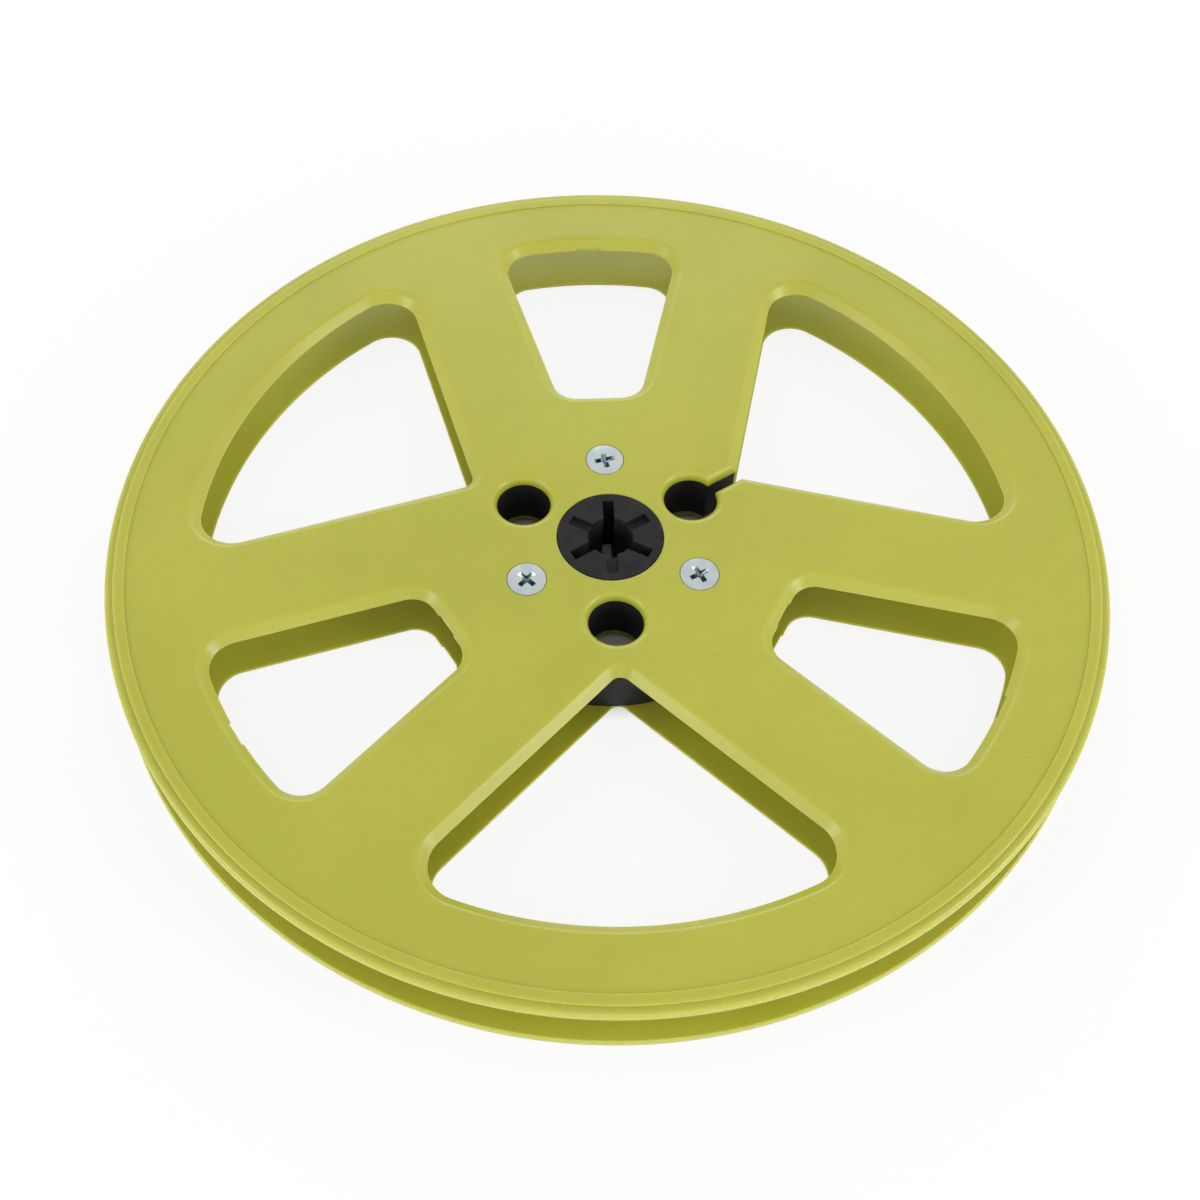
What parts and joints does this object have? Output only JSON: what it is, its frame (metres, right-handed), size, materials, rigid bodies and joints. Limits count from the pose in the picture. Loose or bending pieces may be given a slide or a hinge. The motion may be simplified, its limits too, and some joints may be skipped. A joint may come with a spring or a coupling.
{
  "type": "audio tape reel",
  "caption": "Open tape reel: two windowed flanges screwed to a keyed hub whose drum carries the tape.",
  "frame": {"origin": "on the spindle axis, at the plane of the lower flange's bead that the reel lies on", "axes": "+Z along the spindle axis, out of the upper flange; +Y through the middle of a small window and a screw; the tape slot lies 30 degrees from +X"},
  "size_m": [0.1778, 0.1778, 0.0139],
  "materials": {
    "flange_plastic": "moulded yellow-green plastic, fine satin grain",
    "hub_plastic": "moulded black plastic, matt",
    "zinc_steel": "bright zinc plating"
  },
  "bodies": {
    "root": {"hub": "hub_plastic", "upper_flange": "flange_plastic", "lower_flange": "flange_plastic", "upper_screw_1": "zinc_steel", "upper_screw_2": "zinc_steel", "upper_screw_3": "zinc_steel", "lower_screw_1": "zinc_steel", "lower_screw_2": "zinc_steel", "lower_screw_3": "zinc_steel"}
  },
  "joints": []
}
